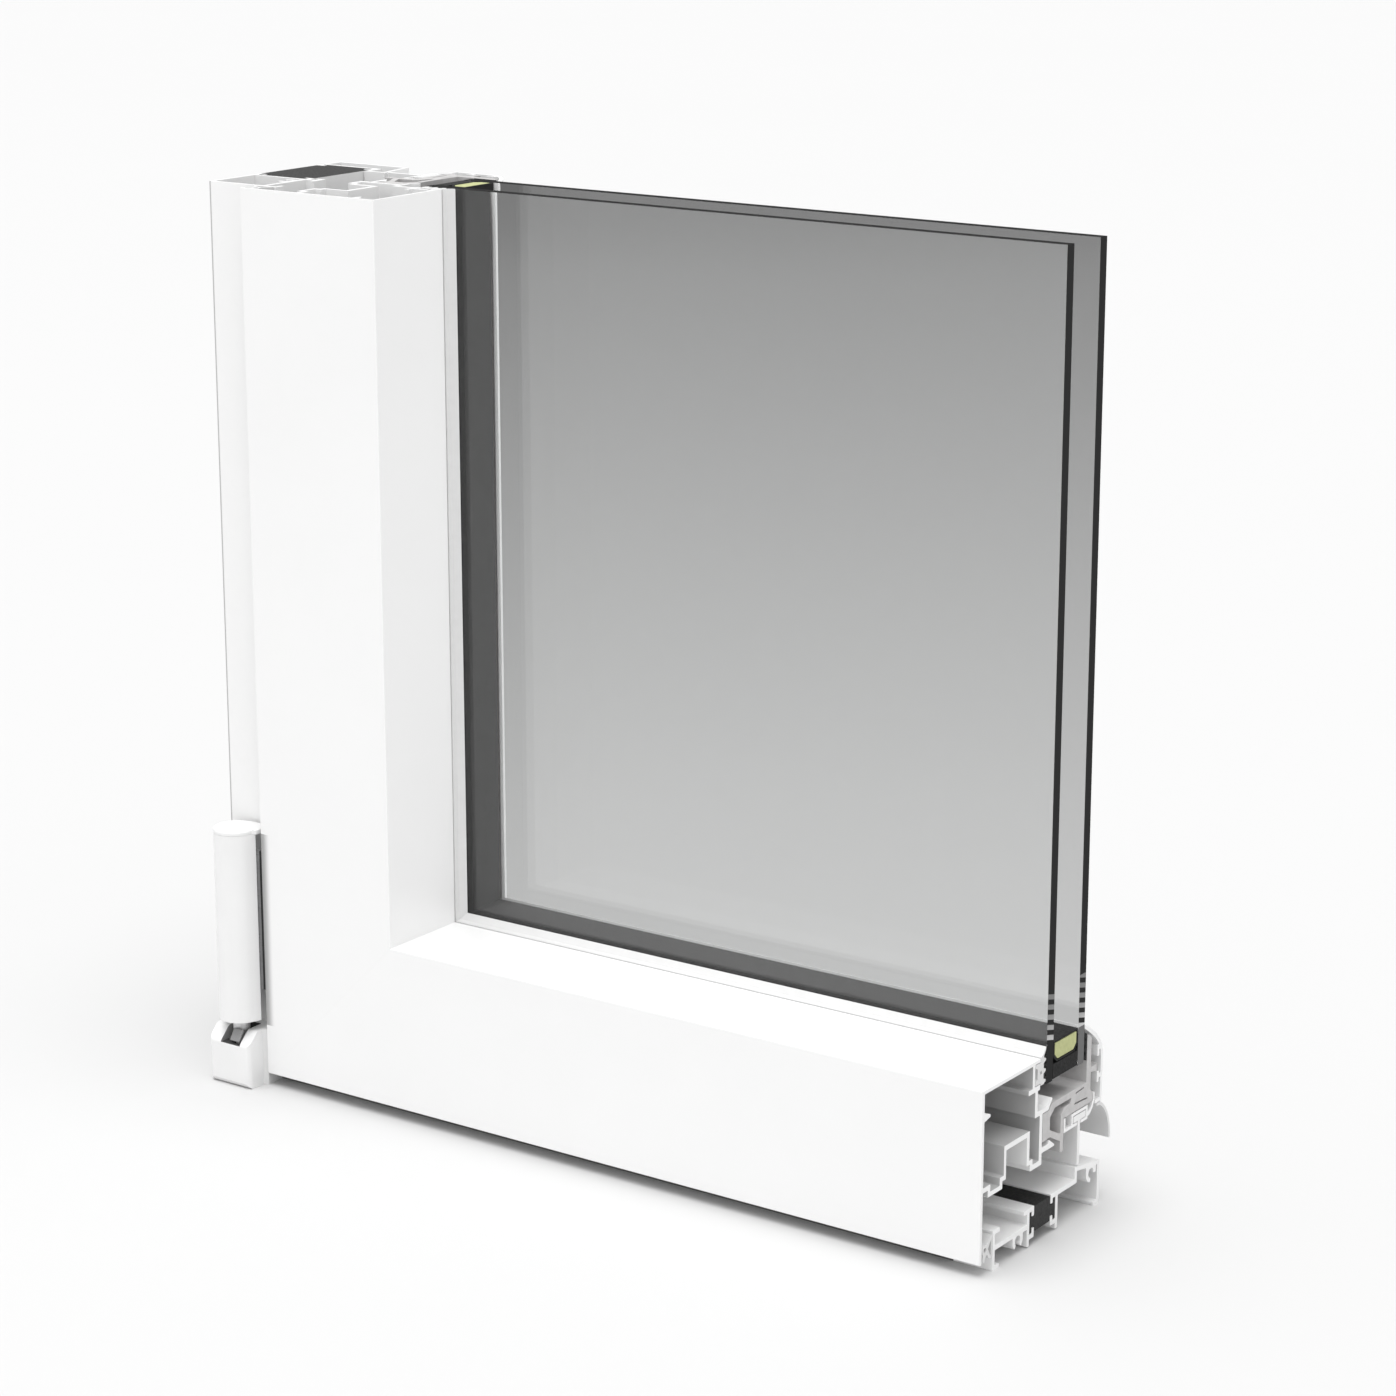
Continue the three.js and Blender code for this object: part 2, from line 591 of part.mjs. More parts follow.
// Barrel and leaf in one piece: the leaf runs behind the sash's skin and turns back
// into the gap between sash and frame, where the clamp screws hold it.
function hingeLeaf() {
  const back = LEAF.front + LEAF.thick;
  const [armFrom, armTo] = LEAF.armX;
  const plan = outline([
    [AXIS_X + 1, LEAF.front], [armTo, LEAF.front], [armTo, LEAF.armEnd],
    [armFrom, LEAF.armEnd], [armFrom, back], [AXIS_X + 1, back],
  ]);
  const leaf = alongZ(plan, BARREL.from + 1, BARREL.to - 1);
  const barrel = rod(BARREL.r, BARREL.to - BARREL.from, 32).rotateX(Math.PI / 2)
    .translate(AXIS_X, AXIS_Y, (BARREL.from + BARREL.to) / 2);
  const bore = rod(PIN_R + GAP, BARREL.to - BARREL.from + 2, 28).rotateX(Math.PI / 2)
    .translate(AXIS_X, AXIS_Y, (BARREL.from + BARREL.to) / 2);
  const holes = LEAF_SCREW.z.map(
    (z) => rodX(LEAF_SCREW.r + GAP, armFrom - 1, armTo + 1, LEAF_SCREW.y, z, 16),
  );
  return less(joined(barrel, leaf), bore, ...holes);
}

// C-shaped trim round the barrel, open at the back where the leaf leaves it. Its front
// runs off straight beside the sash.
function hingeCover() {
  const [start, end] = [-18, -225];
  const lip = 3.5;
  const side = (r) => {
    const curve = arc(AXIS_X, AXIS_Y, r, start, end, 28);
    const away = THREE.MathUtils.degToRad(start);
    const [x, y] = curve[0];
    return [[x - lip * Math.sin(away), y + lip * Math.cos(away)], ...curve];
  };
  const shape = outline([...side(COVER.r), ...side(COVER.r - COVER.wall).reverse()]);
  return alongZ(shape, COVER.from, COVER.to);
}

// Round cap on the cover, squared off at the back beside the sash.
function hingeCap() {
  const top = COVER.to + 1.6;
  const under = COVER.to + GAP;
  const round = turned([
    [0, COVER.to - 3], [5.6, COVER.to - 3], [5.6, under], [CAP_R, under],
    [CAP_R, top - 0.4], [CAP_R - 0.4, top], [0, top],
  ], 40).translate(AXIS_X, AXIS_Y, 0);
  const { right, back } = CAP_CORNER;
  const corner = alongZ(outline(rectangle(AXIS_X, AXIS_Y, right, back)), under, top - 0.4);
  return joined(round, corner);
}

// Countersunk screw along X or Y: a cone head on a plain shank.
function screw(r, headR, headLength, length) {
  const head = new THREE.CylinderGeometry(r, headR, headLength, 20).translate(0, headLength / 2, 0);
  const shank = rod(r, length - headLength + 0.5, 16)
    .translate(0, headLength + (length - headLength - 0.5) / 2, 0);
  const drive = rod(headR * 0.4, headLength * 0.8, 6);
  return less(joined(head, shank), drive);
}

function buildHinge() {
  add(frame, 'hinge_block', hingeBlock(), WHITE_PLASTIC);
  add(frame, 'hinge_socket', hingeSocket(), DARK_PLASTIC);
  BLOCK_SCREW.z.forEach((z, i) => {
    // The heads bear on the back of the frame's leg; the points go forward into the block.
    const geometry = screw(BLOCK_SCREW.r, BLOCK_SCREW.headR, 1.8, 13.6).rotateX(Math.PI)
      .translate(BLOCK_SCREW.x, LEG_FACE + 1.4 + GAP + 1.8, z);
    add(frame, `hinge_block_screw_${i + 1}`, geometry, STEEL);
  });

  add(pivot, 'hinge_pin', hingePin(), STEEL);

  const bush = ring(5.2, PIN_R + GAP, 23.6 + GAP, BARREL.from - GAP);
  add(sash, 'hinge_bush', bush, DARK_PLASTIC);
  add(sash, 'hinge_leaf', hingeLeaf(), STEEL);
  add(sash, 'hinge_cover', hingeCover(), WHITE_PLASTIC);
  add(sash, 'hinge_cap', hingeCap(), WHITE_PLASTIC);

  const clampHoles = LEAF_SCREW.z.map(
    (z) => rodX(LEAF_SCREW.r + GAP, 20, 34, LEAF_SCREW.y, z, 16),
  );
  const clamp = alongX(outline(rectangle(15.3, 33, 27.5, 78)), LEAF.armX[1] + GAP, 33.1);
  add(sash, 'hinge_clamp_block', less(clamp, ...clampHoles), ALUMINIUM);
  LEAF_SCREW.z.forEach((z, i) => {
    const geometry = screw(LEAF_SCREW.r, 3.6, 2.2, 20.3).rotateZ(-Math.PI / 2)
      .translate(LEAF.armX[0] - GAP - 2.2, LEAF_SCREW.y, z);
    add(sash, `hinge_clamp_screw_${i + 1}`, geometry, STEEL);
  });
}

buildFrame();
buildSash();
buildHinge();

export default whole;
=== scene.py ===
# Looks of a casement window corner: white frame and sash, double glazing and a corner hinge.
# Every piece is built in millimetres in the sash's corner frame and then placed in the row frame:
# X runs from the sash's outer edge, Y from its room face, Z from its lower edge.
import json
import math

import bmesh
import bpy
from mathutils import Euler, Matrix, Vector
from mathutils.bvhtree import BVHTree
from mathutils.geometry import tessellate_polygon

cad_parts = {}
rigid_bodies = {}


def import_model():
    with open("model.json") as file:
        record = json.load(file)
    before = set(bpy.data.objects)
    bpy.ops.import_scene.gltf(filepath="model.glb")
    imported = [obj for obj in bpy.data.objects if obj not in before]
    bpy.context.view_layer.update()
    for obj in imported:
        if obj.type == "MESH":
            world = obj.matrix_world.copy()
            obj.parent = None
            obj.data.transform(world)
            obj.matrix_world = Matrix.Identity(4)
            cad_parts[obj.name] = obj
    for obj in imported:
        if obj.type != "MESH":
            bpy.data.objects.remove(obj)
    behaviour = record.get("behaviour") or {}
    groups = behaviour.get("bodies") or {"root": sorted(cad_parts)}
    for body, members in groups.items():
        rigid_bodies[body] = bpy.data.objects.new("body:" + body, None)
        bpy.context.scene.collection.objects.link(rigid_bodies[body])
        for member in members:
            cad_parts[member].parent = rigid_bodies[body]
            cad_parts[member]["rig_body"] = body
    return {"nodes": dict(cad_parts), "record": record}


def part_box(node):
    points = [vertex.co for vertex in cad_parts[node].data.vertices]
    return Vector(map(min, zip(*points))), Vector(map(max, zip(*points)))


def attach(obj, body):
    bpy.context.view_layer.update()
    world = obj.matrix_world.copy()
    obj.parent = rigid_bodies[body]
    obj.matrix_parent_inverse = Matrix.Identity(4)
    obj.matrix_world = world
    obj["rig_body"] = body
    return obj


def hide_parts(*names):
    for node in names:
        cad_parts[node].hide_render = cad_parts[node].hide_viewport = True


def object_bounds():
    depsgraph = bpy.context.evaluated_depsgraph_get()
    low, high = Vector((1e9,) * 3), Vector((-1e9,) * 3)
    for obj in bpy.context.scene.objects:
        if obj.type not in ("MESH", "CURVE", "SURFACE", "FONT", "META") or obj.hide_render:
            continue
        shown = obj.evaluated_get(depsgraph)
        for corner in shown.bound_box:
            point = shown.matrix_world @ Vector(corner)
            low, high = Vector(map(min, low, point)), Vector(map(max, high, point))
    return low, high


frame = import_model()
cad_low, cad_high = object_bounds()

MM = 0.001
GAP = 0.3                      # clearance that the CAD pieces keep
SHUT = 0.02                    # what is left of it where a mitre is drawn closed

stile_low, stile_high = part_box("sash_stile")
rail_low, rail_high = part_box("sash_rail")
CORNER = Vector((stile_low.x, stile_low.y, rail_low.z))
TO_CORNER = Matrix.Scale(1 / MM, 4) @ Matrix.Translation(-CORNER)
TO_ROW = TO_CORNER.inverted()
CUT_X = (rail_high.x - CORNER.x) / MM
CUT_Z = (stile_high.z - CORNER.z) / MM
BASE_Z = (cad_low.z - CORNER.z) / MM


def box_mm(node):
    low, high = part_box(node)
    return TO_CORNER @ low, TO_CORNER @ high


# ---- outlines -----------------------------------------------------------------
def arc(x, y, r, start, end, steps):
    angles = [math.radians(start + (end - start) * i / steps) for i in range(steps + 1)]
    return [(x + r * math.cos(a), y + r * math.sin(a)) for a in angles]


def bezier(a, b, c, d, steps):
    """Points of a cubic curve from a to d."""
    points = []
    for i in range(steps + 1):
        t = i / steps
        s = 1 - t
        weights = (s ** 3, 3 * s * s * t, 3 * s * t * t, t ** 3)
        points.append(tuple(sum(w * p[k] for w, p in zip(weights, (a, b, c, d))) for k in (0, 1)))
    return points


def along_rail(end=CUT_X):
    """Section [y, w] to a bar along X, mitred at the corner."""
    return (lambda y, w: (w + SHUT / 2, y, w)), (lambda y, w: (end, y, w))


def along_stile(start=None, end=CUT_Z):
    """Section [y, w] to a bar along Z, mitred at the corner unless it starts at a height."""
    first = (lambda y, w: (w, y, w + SHUT / 2)) if start is None else (lambda y, w: (w, y, start))
    return first, (lambda y, w: (w, y, end))


def along_z(start, end):
    """Plan [x, y] to an upright piece."""
    return (lambda x, y: (x, y, start)), (lambda x, y: (x, y, end))


# ---- meshes -------------------------------------------------------------------
def prism(loops, ends):
    """Closed bar between two copies of a section: an outline and, after it, any holes."""
    bm = bmesh.new()
    rings = [[[bm.verts.new(place(*p)) for p in loop] for loop in loops] for place in ends]
    for first, last in zip(*rings):
        for i, vertex in enumerate(first):
            j = (i + 1) % len(first)
            bm.faces.new((vertex, first[j], last[j], last[i]))
    triangles = tessellate_polygon([[Vector((a, b, 0)) for a, b in loop] for loop in loops])
    for ring in rings:
        vertices = [v for loop in ring for v in loop]
        for triangle in triangles:
            bm.faces.new([vertices[k] for k in triangle])
    bmesh.ops.recalc_face_normals(bm, faces=bm.faces)
    return bm


def turned(profile, x, y, segments=64):
    """Solid of revolution about an upright axis, from [r, z] points."""
    bm = bmesh.new()
    rings = []
    for r, z in profile:
        if r < 1e-6:
            rings.append([bm.verts.new((x, y, z))])
            continue
        turn = [math.tau * k / segments for k in range(segments)]
        rings.append([bm.verts.new((x + r * math.cos(a), y + r * math.sin(a), z)) for a in turn])
    closed = len(rings[0]) > 1
    pairs = list(zip(rings, rings[1:])) + ([(rings[-1], rings[0])] if closed else [])
    for low, high in pairs:
        for k in range(segments):
            n = (k + 1) % segments
            corners = [
                low[k % len(low)], low[n % len(low)], high[n % len(high)], high[k % len(high)],
            ]
            bm.faces.new(list(dict.fromkeys(corners)))
    bmesh.ops.recalc_face_normals(bm, faces=bm.faces)
    return bm


def boolean(bm, operation, *others):
    """Joins or cuts bm with the others and returns the result."""
    def scratch(mesh_bm):
        mesh = bpy.data.meshes.new("scratch")
        mesh_bm.to_mesh(mesh)
        mesh_bm.free()
        held = bpy.data.objects.new("scratch", mesh)
        bpy.context.scene.collection.objects.link(held)
        return held

    body = scratch(bm)
    tools = [scratch(other) for other in others]
    for tool in tools:
        modifier = body.modifiers.new("cut", "BOOLEAN")
        modifier.operation = operation
        modifier.solver = "EXACT"
        modifier.object = tool
    evaluated = body.evaluated_get(bpy.context.evaluated_depsgraph_get())
    made = bmesh.new()
    made.from_mesh(evaluated.to_mesh())
    for held in (body, *tools):
        bpy.data.objects.remove(held)
    merge(made)
    return made


def merge(bm):
    """Welds the vertices and makes each flat side one face."""
    bmesh.ops.remove_doubles(bm, verts=bm.verts, dist=1e-3)
    bmesh.ops.dissolve_limit(
        bm, angle_limit=math.radians(0.4), use_dissolve_boundaries=False,
        verts=bm.verts, edges=bm.edges, delimit=set(),
    )


def on_mitre(v):
    return abs(abs(v.co.x - v.co.z) - SHUT / 2) < SHUT


def at_cut(v):
    return v.co.x > CUT_X - 0.05 or v.co.z > CUT_Z - 0.05


def soften(bm, radius, segments=2, sharper=28):
    """Rounds the edges that turn by more than some degrees. Cut ends and mitres stay crisp."""
    edges = [
        e for e in bm.edges
        if len(e.link_faces) == 2
        and e.calc_face_angle(0) > math.radians(sharper)
        and not all(at_cut(v) for v in e.verts)
        and not all(on_mitre(v) for v in e.verts)
    ]
    bmesh.ops.bevel(
        bm, geom=edges, offset=radius, offset_type="OFFSET", segments=segments,
        profile=0.5, affect="EDGES", clamp_overlap=True,
    )
    return bm


def from_cad(node):
    """The CAD node's mesh in corner millimetres, with its mitre drawn closed."""
    bm = bmesh.new()
    bm.from_mesh(frame["nodes"][node].data)
    bm.transform(TO_CORNER)
    merge(bm)
    move = GAP / 2 - SHUT / 2
    for v in bm.verts:
        lead = v.co.x - v.co.z
        if abs(lead - GAP / 2) < 0.02:
            v.co.x -= move
        elif abs(lead + GAP / 2) < 0.02:
            v.co.z -= move
    return bm


def middle(face):
    return face.calc_center_median()


def mark(bm, name, chosen, value=1.0):
    """Sets a value on the chosen faces for a material to read."""
    layer = bm.faces.layers.float.get(name) or bm.faces.layers.float.new(name)
    for face in bm.faces:
        if chosen(face):
            face[layer] = value


def split(bm, axis, at):
    """Cuts every face that crosses the plane, so that the two sides can be marked apart."""
    normal = Vector([1.0 if name == axis else 0.0 for name in "XYZ"])
    everything = [*bm.verts, *bm.edges, *bm.faces]
    bmesh.ops.bisect_plane(bm, geom=everything, plane_co=normal * at, plane_no=normal)


def shade_chambers(bm, axis):
    """Paints shade on the walls that the section closes in on every side, as seen along the bar's
    axis.
    """
    shade, reach, rays, first_turn = 0.4, 80, 16, 0.1
    tree = BVHTree.FromBMesh(bm)
    turns = [math.tau * k / rays + first_turn for k in range(rays)]
    looks = [Matrix.Rotation(turn, 4, axis) @ Vector((0, 1, 0)) for turn in turns]

    def closed_in(face):
        if abs(face.normal["XYZ".index(axis)]) > 0.5:
            return False
        start = middle(face) + face.normal * 0.05
        return all(tree.ray_cast(start, look, reach)[0] is not None for look in looks)

    mark(bm, "shade", closed_in, shade)


SLOT_OF = {row["node"]: row["material_slot"] for row in frame["record"]["subparts"]}
MATERIALS = {}
# painted shade: faces marked "shade" are mixed towards this dark colour, by the mark's value
SHADE = (0.02, 0.02, 0.02)     # what a face marked "shade" is mixed towards


def piece(bm, node, smooth=40):
    """Makes the mesh an object that stands for its CAD node and moves with that node's body."""
    name = node + "_finished"
    bm.transform(TO_ROW)
    bmesh.ops.recalc_face_normals(bm, faces=bm.faces)
    mesh = bpy.data.meshes.new(name)
    bm.to_mesh(mesh)
    bm.free()
    mesh.shade_smooth()
    mesh.set_sharp_from_angle(angle=math.radians(smooth))
    made = bpy.data.objects.new(name, mesh)
    bpy.context.scene.collection.objects.link(made)
    weighted = made.modifiers.new("even_shading", "WEIGHTED_NORMAL")
    weighted.keep_sharp = True
    slot = SLOT_OF[node]
    mesh.materials.append(MATERIALS[slot])
    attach(made, frame["nodes"][node]["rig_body"])
    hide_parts(node)
    return made


def refined(node, radius, chambers=None, **options):
    """A CAD node with its long edges rounded. Chambers names the axis of a hollow bar, whose closed
    chambers get painted shade.
    """
    bm = soften(from_cad(node), radius, **options)
    if chambers:
        shade_chambers(bm, chambers)
    piece(bm, node)


# ---- materials ----------------------------------------------------------------
def map_range(nodes, *limits):
    """A node that takes a number between the first two limits to one between the last two."""
    node = nodes.new("ShaderNodeMapRange")
    for socket, value in zip(("From Min", "From Max", "To Min", "To Max"), limits):
        node.inputs[socket].default_value = value
    return node


class Finish:
    """A Principled material whose colour, roughness and bump come from patterns in object space."""

    def __init__(self, name, color, roughness, metallic=0.0, **sockets):
        material = bpy.data.materials.new(name)
        material.use_nodes = True
        MATERIALS[name] = material
        self.nodes = material.node_tree.nodes
        self.links = material.node_tree.links
        self.shader = self.nodes["Principled BSDF"]
        self.color = color
        self.set("Base Color", (*color, 1))
        self.set("Roughness", roughness)
        self.set("Metallic", metallic)
        for socket, value in sockets.items():
            self.set(socket.replace("_", " "), value)
        self.place = self.nodes.new("ShaderNodeTexCoord").outputs["Object"]
        self.height = None

    def set(self, socket, value):
        self.shader.inputs[socket].default_value = value

    def pattern(self, kind, scale, stretch=(1, 1, 1), **values):
        mapping = self.nodes.new("ShaderNodeMapping")
        mapping.inputs["Scale"].default_value = stretch
        self.links.new(self.place, mapping.inputs["Vector"])
        node = self.nodes.new(kind)
        node.inputs["Scale"].default_value = scale
        for socket, value in values.items():
            node.inputs[socket.replace("_", " ")].default_value = value
        self.links.new(mapping.outputs["Vector"], node.inputs["Vector"])
        return node

    def noise(self, scale, stretch=(1, 1, 1), detail=3.0):
        return self.pattern("ShaderNodeTexNoise", scale, stretch, Detail=detail).outputs["Fac"]

    def cells(self, scale):
        return self.pattern("ShaderNodeTexVoronoi", scale).outputs["Distance"]

    def between(self, fac, low, high):
        """A number from low to high as the pattern goes from 0.3 to 0.7."""
        node = map_range(self.nodes, 0.3, 0.7, low, high)
        self.links.new(fac, node.inputs["Value"])
        return node.outputs["Result"]

    def vary_color(self, fac, low, high):
        """Base colour from low to high times the material's own."""
        ramp = self.nodes.new("ShaderNodeValToRGB")
        ramp.color_ramp.elements[0].position = 0.3
        ramp.color_ramp.elements[1].position = 0.7
        for element, share in zip(ramp.color_ramp.elements, (low, high)):
            element.color = (*(min(1, c * share) for c in self.color), 1)
        self.links.new(fac, ramp.inputs["Fac"])
        self.links.new(ramp.outputs["Color"], self.shader.inputs["Base Color"])

    def number(self, operation, a, b):
        """One arithmetic step on sockets or plain numbers."""
        node = self.nodes.new("ShaderNodeMath")
        node.operation = operation
        for socket, value in zip(node.inputs, (a, b)):
            if isinstance(value, (int, float)):
                socket.default_value = value
            else:
                self.links.new(value, socket)
        return node.outputs[0]

    def spot(self):
        """The place on the surface as three separate numbers."""
        node = self.nodes.new("ShaderNodeSeparateXYZ")
        self.links.new(self.place, node.inputs[0])
        return node.outputs

    def overlay(self, share, color):
        """Lays a colour over the base colour by a share from 0 to 1."""
        mix = self.nodes.new("ShaderNodeMix")
        mix.data_type = "RGBA"
        base = self.shader.inputs["Base Color"]
        if base.links:
            self.links.new(base.links[0].from_socket, mix.inputs["A"])
        else:
            mix.inputs["A"].default_value = (*self.color, 1)
        mix.inputs["B"].default_value = (*color, 1)
        self.links.new(share, mix.inputs["Factor"])
        self.links.new(mix.outputs["Result"], base)

    def where(self, name, color=SHADE):
        """Another colour on the faces that carry the mark."""
        mark_node = self.nodes.new("ShaderNodeAttribute")
        mark_node.attribute_name = name
        self.overlay(mark_node.outputs["Fac"], color)
        return mark_node.outputs["Fac"]

    def paint_shade_beside_hinge(self):
        """Paints shade on a narrow strip of the sash's room face, where the hinge cover stands beside
        it: the cover's painted shadow.
        """
        low, high = TO_ROW @ Vector((0, 0, 18)), TO_ROW @ Vector((0, 0.6, 88))
        width, before, strength = 4.5 * MM, 0.5 * MM, 0.65
        spot = self.spot()
        fade = map_range(self.nodes, low.x, low.x + width, strength, 0)
        fade.interpolation_type = "SMOOTHERSTEP"
        self.links.new(spot["X"], fade.inputs["Value"])
        share = fade.outputs["Result"]
        for operation, axis, limit in (
            ("LESS_THAN", "Y", high.y), ("GREATER_THAN", "Z", low.z), ("LESS_THAN", "Z", high.z),
            ("GREATER_THAN", "X", low.x - before),
        ):
            share = self.number("MULTIPLY", share, self.number(operation, spot[axis], limit))
        self.overlay(share, (0.06, 0.06, 0.06))

    def vary_roughness(self, fac, low, high):
        self.links.new(self.between(fac, low, high), self.shader.inputs["Roughness"])

    def bump(self, fac, strength, distance):
        """Adds a layer of relief, on top of those before it."""
        node = self.nodes.new("ShaderNodeBump")
        node.inputs["Strength"].default_value = strength
        node.inputs["Distance"].default_value = distance
        self.links.new(fac, node.inputs["Height"])
        if self.height is not None:
            self.links.new(self.height, node.inputs["Normal"])
        self.height = node.outputs["Normal"]
        self.links.new(self.height, self.shader.inputs["Normal"])


def white_lacquer():
    """Powder coat: a fine orange peel under an even satin gloss, with painted shade on marked faces
    and beside the hinge.
    """
    coat = Finish("white_lacquer", (0.84, 0.84, 0.839), 0.38)
    coat.vary_color(coat.noise(18, detail=2), 0.99, 1.005)
    coat.vary_roughness(coat.noise(350), 0.34, 0.42)
    coat.bump(coat.noise(900, detail=2), 0.02, 0.0001)
    coat.where("shade")
    coat.paint_shade_beside_hinge()


def white_plastic():
    """Moulded hinge trim: a little duller than the lacquer, with a spark-eroded grain, and painted
    shade on marked faces.
    """
    trim = Finish("white_plastic", (0.80, 0.80, 0.799), 0.42)
    trim.vary_color(trim.noise(60, detail=2), 0.985, 1.01)
    trim.vary_roughness(trim.noise(700), 0.34, 0.46)
    trim.bump(trim.noise(2600, detail=2), 0.08, 0.00006)
    trim.where("shade")


def polyamide():
    """Glass-filled polyamide with faint die lines along the bar, and painted shade on marked faces.
    """
    bar = Finish("polyamide", (0.50, 0.492, 0.49), 0.55)
    bar.vary_color(bar.noise(420), 0.93, 1.06)
    bar.vary_roughness(bar.noise(900), 0.5, 0.65)
    bar.bump(bar.noise(2200), 0.15, 0.00008)
    bar.where("shade")


def thermal_foam():
    """Dark closed-cell foam."""
    foam = Finish("thermal_foam", (0.013, 0.013, 0.013), 0.6, Specular_IOR_Level=0.35)
    foam.vary_color(foam.noise(700), 0.8, 1.2)
    foam.vary_roughness(foam.noise(1500), 0.5, 0.7)
    foam.bump(foam.cells(1100), 0.2, 0.0001)
    foam.where("skin", (0.78, 0.78, 0.78))


def black_rubber():
    rubber = Finish("black_rubber", (0.011, 0.011, 0.011), 0.6, Specular_IOR_Level=0.13)
    rubber.vary_color(rubber.noise(500), 0.8, 1.3)
    rubber.vary_roughness(rubber.noise(1200), 0.45, 0.7)
    rubber.bump(rubber.noise(1800), 0.08, 0.00006)


def white_rubber():
    rubber = Finish("white_rubber", (0.67, 0.67, 0.668), 0.6)
    rubber.vary_color(rubber.noise(300), 0.97, 1.01)
    rubber.vary_roughness(rubber.noise(1200), 0.55, 0.7)
    rubber.bump(rubber.noise(1800), 0.12, 0.00008)


def desiccant():
    """Molecular-sieve beads packed in the spacer."""
    beads = Finish("desiccant", (0.47, 0.49, 0.25), 0.9, Specular_IOR_Level=0.2)
    beads.vary_color(beads.noise(800), 0.92, 1.07)
    beads.vary_roughness(beads.noise(2000), 0.82, 0.95)
    beads.bump(beads.cells(1100), 0.25, 0.0002)


def glass():
    """Clear float glass with a slight roller wave. Its cut edges are painted opaque and dark, with
    bands of painted reflection at the foot.
    """
    pane = Finish("glass", (0.97, 0.975, 0.973), 0.0, Transmission_Weight=1.0, IOR=1.5)
    pane.vary_roughness(pane.noise(40), 0.0, 0.004)
    pane.bump(pane.noise(14, stretch=(1, 1, 0.3), detail=1), 0.02, 0.0001)
    cut = pane.where("cut")
    clear = pane.number("SUBTRACT", 1, cut)
    pane.links.new(clear, pane.shader.inputs["Transmission Weight"])
    pane.links.new(pane.number("MULTIPLY", clear, 0.5), pane.shader.inputs["Specular IOR Level"])

    # painted reflection in the cut edges: bands that grow paler towards the foot, and the outer
    # pane's edge lighter below the foot
    foot, top, between_panes = 0.065, 0.0825, 0.0165
    dark, palest_band, dimmest_band, outer_foot_lift = 0.032, 0.35, 0.18, 0.13
    slant = pane.nodes.new("ShaderNodeVectorMath")
    slant.operation = "DOT_PRODUCT"
    slant.inputs[1].default_value = (0, 0.26, 1)
    pane.links.new(pane.place, slant.inputs[0])
    bands = pane.pattern("ShaderNodeTexWave", 94, Distortion=0.3, Phase_Offset=0.37)
    bands.bands_direction = "Z"
    pane.links.new(slant.outputs["Value"], bands.inputs["Vector"])
    spot = pane.spot()
    above_foot = pane.number("GREATER_THAN", spot["Z"], foot)
    below_top = pane.number("LESS_THAN", spot["Z"], top)
    light = pane.number("GREATER_THAN", bands.outputs["Fac"], 0.5)
    share = pane.number("MULTIPLY", pane.number("MULTIPLY", above_foot, below_top), light)
    depth = map_range(pane.nodes, top, foot, 0, 1)
    pane.links.new(spot["Z"], depth.inputs["Value"])
    rise = pane.number("MULTIPLY", pane.number("POWER", depth.outputs["Result"], 2.4), palest_band)
    banded = pane.number("MULTIPLY", share, pane.number("ADD", rise, dimmest_band))
    outer_pane = pane.number("GREATER_THAN", spot["Y"], between_panes)
    buried = pane.number("LESS_THAN", spot["Z"], foot)
    outer_foot_lifted = pane.number("MULTIPLY", pane.number("MULTIPLY", outer_pane, buried), outer_foot_lift)
    grey = pane.number("ADD", pane.number("ADD", banded, outer_foot_lifted), dark)
    pane.links.new(grey, pane.shader.inputs["Base Color"].links[0].from_node.inputs["B"])


def steel():
    """Zinc-plated steel with faint turning marks, and painted shade on marked faces."""
    metal = Finish("steel", (0.70, 0.70, 0.705), 0.4, metallic=0.25)
    metal.vary_color(metal.noise(260), 0.9, 1.08)
    metal.vary_roughness(metal.noise(300, stretch=(1, 1, 14)), 0.26, 0.42)
    metal.bump(metal.noise(500, stretch=(1, 1, 12)), 0.1, 0.00005)
    metal.where("shade")


def dark_plastic():
    plastic = Finish("dark_plastic", (0.10, 0.10, 0.105), 0.5)
    plastic.vary_color(plastic.noise(200), 0.85, 1.15)
    plastic.vary_roughness(plastic.noise(900), 0.42, 0.6)
    plastic.bump(plastic.noise(2000), 0.12, 0.00006)


def bare_aluminium():
    """Extruded and sawn aluminium, brushed along its length."""
    metal = Finish("bare_aluminium", (0.62, 0.63, 0.64), 0.4, metallic=1.0)
    metal.vary_color(metal.noise(150), 0.92, 1.05)
    metal.vary_roughness(metal.noise(260, stretch=(1, 10, 1)), 0.32, 0.52)
    metal.bump(metal.noise(700, stretch=(1, 10, 1)), 0.15, 0.00006)


for make in (
    white_lacquer, white_plastic, polyamide, thermal_foam, black_rubber, white_rubber,
    desiccant, glass, steel, dark_plastic, bare_aluminium,
):
    make()


# ---- fixed frame --------------------------------------------------------------
def build_inner_sill():
    """Room half of the sill. Its foot, under the sash, is painted dark as shade except near the cut
    end.
    """
    leg = box_mm("frame_inner_sill")[0].y
    sill = soften(from_cad("frame_inner_sill"), 0.25)
    foot_top, shaded_to = -0.2, CUT_X - 14
    split(sill, "Z", foot_top)
    split(sill, "X", shaded_to)

    def foot(face):
        at = middle(face)
        return at.y < leg + 0.3 and at.z < foot_top and at.x < shaded_to

    # painted shade on the foot under the sash
    mark(sill, "shade", foot, 0.88)
    piece(sill, "frame_inner_sill")


